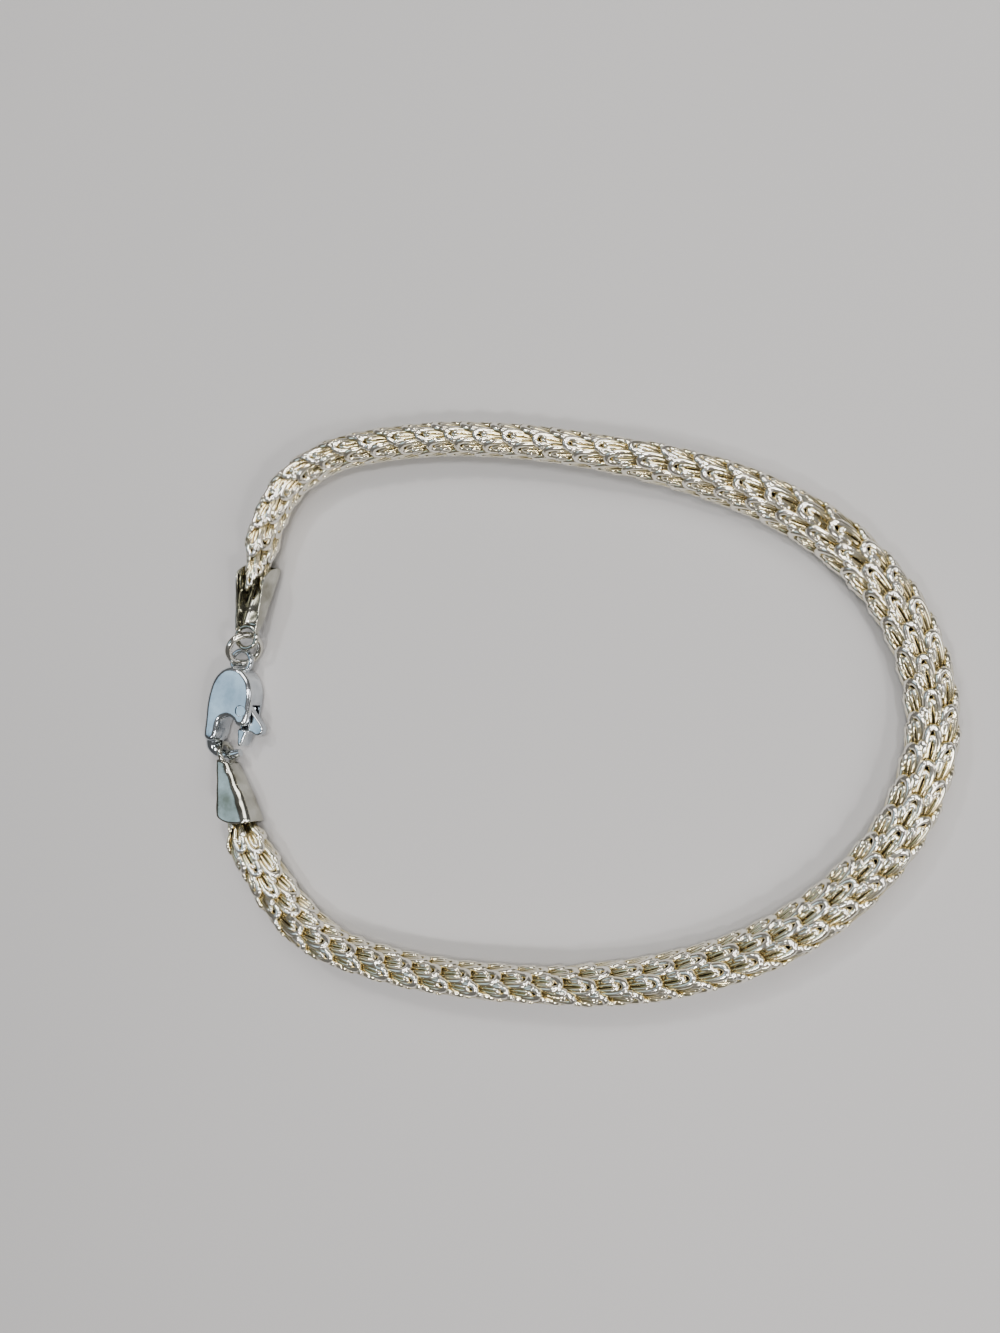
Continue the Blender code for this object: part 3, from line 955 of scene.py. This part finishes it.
def make_weave():
    """The chain as two pieces: the outer loops, and the filling loops with the dark core of
    painted shade.
    """
    frames = chain_frames()
    rng = np.random.default_rng(WEAVE_SEED)
    wire = chain_silver()
    points, quads, depths = row_set(OUTER_ROWS, OUTER_STEPS, OUTER_SIDES, frames, rng)
    kinds = np.zeros(len(quads), np.int32)
    weave_piece("chain_weave", points, quads.tolist(), depths, [wire], kinds)
    points, quads, depths = row_set(INNER_ROWS, INNER_STEPS, INNER_SIDES, frames, rng)
    core, core_faces = core_tube(frames)
    faces = quads.tolist()
    faces.extend([[number + len(points) for number in face] for face in core_faces])
    kinds = np.zeros(len(faces), np.int32)
    kinds[len(quads) :] = 1
    points = np.concatenate([points, core])
    depths = np.concatenate([depths, np.ones(len(core))])
    weave_piece("chain_weave_inner", points, faces, depths, [wire, chain_core()], kinds)


def new_material(name):
    """A new material with its nodes, links and shader."""
    material = bpy.data.materials.new(name)
    material.use_nodes = True
    nodes = material.node_tree.nodes
    shader = nodes["Principled BSDF"]
    return material, nodes, material.node_tree.links, shader


def ramp(nodes, stops):
    """Colour ramp through the stops, each a place from 0 to 1 and a colour."""
    node = nodes.new("ShaderNodeValToRGB")
    band = node.color_ramp
    band.elements[0].position = stops[0][0]
    band.elements[0].color = (*stops[0][1], 1.0)
    band.elements[1].position = stops[-1][0]
    band.elements[1].color = (*stops[-1][1], 1.0)
    for place, color in stops[1:-1]:
        band.elements.new(place).color = (*color, 1.0)
    return node


def noise(nodes, links, scale, detail, stretch=None):
    """Noise in object space, drawn out into turned streaks where a stretch is given."""
    place = nodes.new("ShaderNodeTexCoord")
    node = nodes.new("ShaderNodeTexNoise")
    node.inputs["Scale"].default_value = scale
    node.inputs["Detail"].default_value = detail
    if stretch is None:
        links.new(place.outputs["Object"], node.inputs["Vector"])
        return node
    mapping = nodes.new("ShaderNodeMapping")
    mapping.inputs["Scale"].default_value = stretch
    mapping.inputs["Rotation"].default_value = SCRATCH_TURN
    links.new(place.outputs["Object"], mapping.inputs["Vector"])
    links.new(mapping.outputs["Vector"], node.inputs["Vector"])
    return node


def silver(name, bright, dull, finish):
    """Polished silver with a cloudy tarnish, fine scratches and slow waves in its surface."""
    rough, scratch, wave = finish
    material, nodes, links, shader = new_material(name)
    shader.inputs["Metallic"].default_value = 1.0
    cloud = noise(nodes, links, CLOUD_SCALE, CLOUD_DETAIL)
    tint = ramp(nodes, ((CLOUD_BRIGHT, bright), (CLOUD_DULL, dull)))
    links.new(cloud.outputs["Fac"], tint.inputs["Fac"])
    links.new(tint.outputs["Color"], shader.inputs["Base Color"])
    wear = noise(nodes, links, WEAR_SCALE, WEAR_DETAIL)
    span = nodes.new("ShaderNodeMapRange")
    span.inputs["To Min"].default_value = rough * WEAR_LEAST
    span.inputs["To Max"].default_value = rough * WEAR_MOST
    links.new(wear.outputs["Fac"], span.inputs["Value"])
    links.new(span.outputs["Result"], shader.inputs["Roughness"])
    lines = noise(nodes, links, SCRATCH_SCALE, SCRATCH_DETAIL, SCRATCH_STRETCH)
    bump = nodes.new("ShaderNodeBump")
    bump.inputs["Strength"].default_value = scratch
    bump.inputs["Distance"].default_value = SCRATCH_DEPTH
    links.new(lines.outputs["Fac"], bump.inputs["Height"])
    links.new(bump.outputs["Normal"], shader.inputs["Normal"])
    if wave:
        slow = noise(nodes, links, WAVE_SCALE, WAVE_DETAIL)
        swell = nodes.new("ShaderNodeBump")
        swell.inputs["Strength"].default_value = wave
        swell.inputs["Distance"].default_value = WAVE_DEPTH
        links.new(slow.outputs["Fac"], swell.inputs["Height"])
        links.new(swell.outputs["Normal"], bump.inputs["Normal"])
    return material, nodes, links, shader, tint


def chain_silver():
    """Silver wire, bright outside, with painted shade and warm painted reflection down in the
    weave.
    """
    made = silver("chain_silver_wire", WIRE_BRIGHT, WIRE_DULL, WIRE_FINISH)
    material, nodes, links, shader, tint = made
    # Painted shade: the wire's colour is multiplied by a warm, darkening tone that follows its
    # depth.
    depth = nodes.new("ShaderNodeAttribute")
    depth.attribute_name = "depth"
    painted_depth_shade = ramp(nodes, WEAVE_PAINTED_SHADE)
    links.new(depth.outputs["Fac"], painted_depth_shade.inputs["Fac"])
    mix = nodes.new("ShaderNodeMix")
    mix.data_type = "RGBA"
    mix.blend_type = "MULTIPLY"
    mix.inputs["Factor"].default_value = 1.0
    links.new(tint.outputs["Color"], mix.inputs["A"])
    links.new(painted_depth_shade.outputs["Color"], mix.inputs["B"])
    links.new(mix.outputs["Result"], shader.inputs["Base Color"])
    return material


def chain_core():
    """Very dark metal deep inside the weave, painted shade in the chain's hollow."""
    material, nodes, links, shader = new_material("chain_core_tarnish")
    shader.inputs["Metallic"].default_value = CORE_METALLIC
    shader.inputs["Roughness"].default_value = CORE_ROUGHNESS
    cloud = noise(nodes, links, CORE_CLOUD_SCALE, CORE_CLOUD_DETAIL)
    tint = ramp(nodes, CORE_PAINTED_SHADE)
    links.new(cloud.outputs["Fac"], tint.inputs["Fac"])
    links.new(tint.outputs["Color"], shader.inputs["Base Color"])
    return material


def finished(obj, name, material, slot_name, node, body, even):
    """Puts the drawn object in the scene as a finished piece that stands for a node."""
    if even:
        normals = obj.modifiers.new("normals", "WEIGHTED_NORMAL")
        normals.keep_sharp = True
    bpy.context.view_layer.update()
    graph = bpy.context.evaluated_depsgraph_get()
    mesh = bpy.data.meshes.new_from_object(obj.evaluated_get(graph))
    mesh.transform(Matrix.Translation(SHIFT) @ obj.matrix_world)
    mesh.materials.clear()
    mesh.materials.append(material)
    for polygon in mesh.polygons:
        polygon.material_index = 0
    piece = bpy.data.objects.new(name, mesh)
    bpy.context.scene.collection.objects.link(piece)
    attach(piece, body)
    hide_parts(node)


def make_small_pieces():
    """The caps, the jump ring and the clasp, each drawn finer in the place of its CAD solid."""
    group = bpy.data.collections.new("drawn")
    helpers = bpy.data.collections.new("cutters")
    bpy.context.scene.collection.children.link(group)
    bpy.context.scene.collection.children.link(helpers)
    sheet = silver("cap_silver_sheet", CAP_BRIGHT, CAP_DULL, CAP_FINISH)[0]
    wire = silver("ring_silver_wire", RING_BRIGHT, RING_DULL, RING_FINISH)[0]
    cast = silver("clasp_silver_cast", CLASP_BRIGHT, CLASP_DULL, CLASP_FINISH)[0]
    up = Vector((0.0, 0.0, 1.0))
    (ring_a, along_a), (ring_b, along_b) = cap_axes()
    outward = along_b.cross(up).normalized()
    cap_a = make_cap("cap_a", ring_a, along_a, up, group, helpers)
    cap_b = make_cap("cap_b", ring_b, along_b, outward, group, helpers)
    ring = make_jump_ring(group)
    body, lever, pin = make_clasp(group, helpers)
    # Drawn object, piece name, material, slot name, CAD node, body, and whether faces are evened.
    pieces = (
        (cap_a, "folded_cap_a", sheet, "cap_silver", "end_cap_a", "bracelet", False),
        (cap_b, "folded_cap_b", sheet, "cap_silver", "end_cap_b", "bracelet", False),
        (ring, "jump_ring_wire", wire, "ring_silver", "jump_ring", "bracelet", False),
        (body, "clasp_body_cast", cast, "clasp_silver", "clasp_body", "bracelet", True),
        (lever, "clasp_lever_cast", cast, "clasp_silver", "clasp_lever", "lever", True),
        (pin, "clasp_rivet", cast, "clasp_silver", "clasp_pin", "bracelet", True),
    )
    for drawn in pieces:
        finished(*drawn)
    for collection in (group, helpers):
        for obj in list(collection.objects):
            bpy.data.objects.remove(obj, do_unlink=True)
        bpy.data.collections.remove(collection)


def make_floor():
    """Plain pale floor, just under the lowest point of the chain."""
    bpy.ops.mesh.primitive_plane_add(size=FLOOR_SIZE, location=(0.0, 0.0, -FLOOR_DROP))
    floor = bpy.context.object
    floor.name = "floor"
    material, nodes, links, shader = new_material("pale_floor")
    cloud = noise(nodes, links, FLOOR_CLOUD_SCALE, FLOOR_CLOUD_DETAIL)
    tint = ramp(nodes, FLOOR_TONES)
    links.new(cloud.outputs["Fac"], tint.inputs["Fac"])
    links.new(tint.outputs["Color"], shader.inputs["Base Color"])
    shader.inputs["Roughness"].default_value = FLOOR_ROUGHNESS
    floor.data.materials.append(material)


def area_light(name, place, size, power, color):
    """Round soft light at the place, turned to the origin."""
    data = bpy.data.lights.new(name, "AREA")
    data.shape = "DISK"
    data.size = size
    data.energy = power
    data.color = color
    light = bpy.data.objects.new(name, data)
    bpy.context.scene.collection.objects.link(light)
    light.location = place
    light.rotation_euler = (-Vector(place)).to_track_quat("-Z", "Y").to_euler()


def make_lights():
    """Soft lights, small lamps and the even light all round."""
    for light in SOFT_LIGHTS:
        area_light(*light)
    for number, place in enumerate(LAMP_PLACES):
        area_light(f"lamp_{number}", place, LAMP_SIZE, LAMP_POWER, LAMP_COLOR)
    world = bpy.data.worlds.new("studio")
    bpy.context.scene.world = world
    world.use_nodes = True
    background = world.node_tree.nodes["Background"]
    background.inputs["Color"].default_value = WORLD_COLOR
    background.inputs["Strength"].default_value = WORLD_STRENGTH


def make_camera():
    """Camera at the photograph's place and angle."""
    data = bpy.data.cameras.new("photo_view")
    data.lens = CAMERA_LENS
    data.sensor_width = CAMERA_SENSOR
    data.clip_start = CAMERA_NEAR
    data.clip_end = CAMERA_FAR
    camera = bpy.data.objects.new("photo_view", data)
    bpy.context.scene.collection.objects.link(camera)
    turn = Matrix.Rotation(CAMERA_TURN_Y, 4, "Y") @ Matrix.Rotation(CAMERA_TURN_X, 4, "X")
    turn.translation = CAMERA_PLACE + SHIFT
    camera.matrix_world = turn
    bpy.context.scene.camera = camera


def remove_startup():
    """Takes out what a new Blender file holds."""
    for name in ("Cube", "Light", "Camera"):
        if name in bpy.data.objects:
            bpy.data.objects.remove(bpy.data.objects[name], do_unlink=True)


remove_startup()
make_camera()
make_floor()
make_lights()
make_weave()
make_small_pieces()
